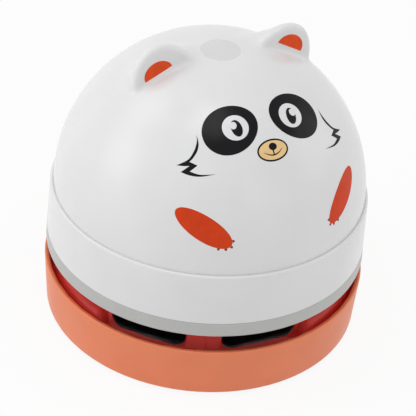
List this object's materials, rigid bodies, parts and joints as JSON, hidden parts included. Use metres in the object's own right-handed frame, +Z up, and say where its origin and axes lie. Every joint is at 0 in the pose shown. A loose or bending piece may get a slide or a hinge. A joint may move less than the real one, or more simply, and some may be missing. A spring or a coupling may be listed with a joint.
{
  "type": "desktop mini vacuum cleaner",
  "caption": "Round battery desktop vacuum with a domed cover with animal ears, an open exhaust gap and a suction base with brushes.",
  "frame": {"origin": "on the surface the object stands on, under the middle of the round body", "axes": "+Z up, the printed face looks along -Y, +X is the object's own left side seen from the front as right"},
  "size_m": [0.0866, 0.0866, 0.0825],
  "materials": {
    "shell_white": "gloss white with the face printed on the dome",
    "ring_coral": "satin coral",
    "housing_red": "gloss red",
    "band_grey": "light grey with a fine grain",
    "inner_grey": "moulded grey",
    "inner_black": "moulded black",
    "brush_nylon": "black nylon",
    "seal_foam": "closed-cell foam",
    "foot_rubber": "soft rubber",
    "filter_cloth": "fine woven mesh",
    "bright_steel": "nickel-plated",
    "contact_brass": "drawn brass",
    "cell_sleeve": "plain printed sleeve",
    "lead_red": "vinyl",
    "lead_black": "vinyl",
    "print_orange": "printed ink",
    "print_black": "printed ink",
    "print_tan": "printed ink",
    "print_white": "printed ink",
    "seal_film": "thin clear film"
  },
  "bodies": {
    "base": {"base_cup": "ring_coral", "brush_front": "brush_nylon", "brush_rear": "brush_nylon", "seal_ring": "seal_foam", "foot_1": "foot_rubber", "foot_2": "foot_rubber", "foot_3": "foot_rubber", "foot_4": "foot_rubber"},
    "head": {"fan_housing": "housing_red", "filter_frame": "inner_grey", "filter_mesh": "filter_cloth", "motor_deck": "band_grey", "skirt_shell": "shell_white", "motor_can": "bright_steel", "motor_end_cap": "inner_black", "motor_bushing": "contact_brass", "motor_terminal_front": "contact_brass", "motor_terminal_rear": "contact_brass", "battery_tray": "inner_grey", "cell_left": "cell_sleeve", "cell_right": "cell_sleeve", "contact_bridge": "bright_steel", "contact_left": "bright_steel", "contact_right": "bright_steel", "contact_spring_left": "bright_steel", "contact_spring_right": "bright_steel", "switch_body": "inner_black", "lead_switched": "lead_red", "lead_supply": "lead_red", "lead_return": "lead_black", "housing_screw_1": "bright_steel", "housing_screw_2": "bright_steel", "housing_screw_3": "bright_steel", "tray_screw_1": "bright_steel", "tray_screw_2": "bright_steel", "tray_screw_3": "bright_steel", "tray_screw_4": "bright_steel"},
    "impeller": {"impeller": "inner_grey", "motor_shaft": "bright_steel"},
    "switch": {"switch_knob": "inner_black"},
    "dome": {"dome_cover": "shell_white"}
  },
  "joints": [
    {"name": "head_twist", "type": "hinge", "parent": "base", "child": "head", "pos_m": [0, 0, 0.0105], "axis": [0, 0, 1], "range_deg": [0, 18]},
    {"name": "dome_twist", "type": "hinge", "parent": "head", "child": "dome", "pos_m": [0, 0, 0.03795], "axis": [0, 0, 1], "range_deg": [0, 15]},
    {"name": "switch_slide", "type": "slide", "parent": "head", "child": "switch", "axis": [1, 0, 0], "range_m": [0, 0.003]},
    {"name": "impeller_spin", "type": "hinge", "parent": "head", "child": "impeller", "pos_m": [0, 0, 0.0176], "axis": [0, 0, 1], "continuous": true}
  ]
}
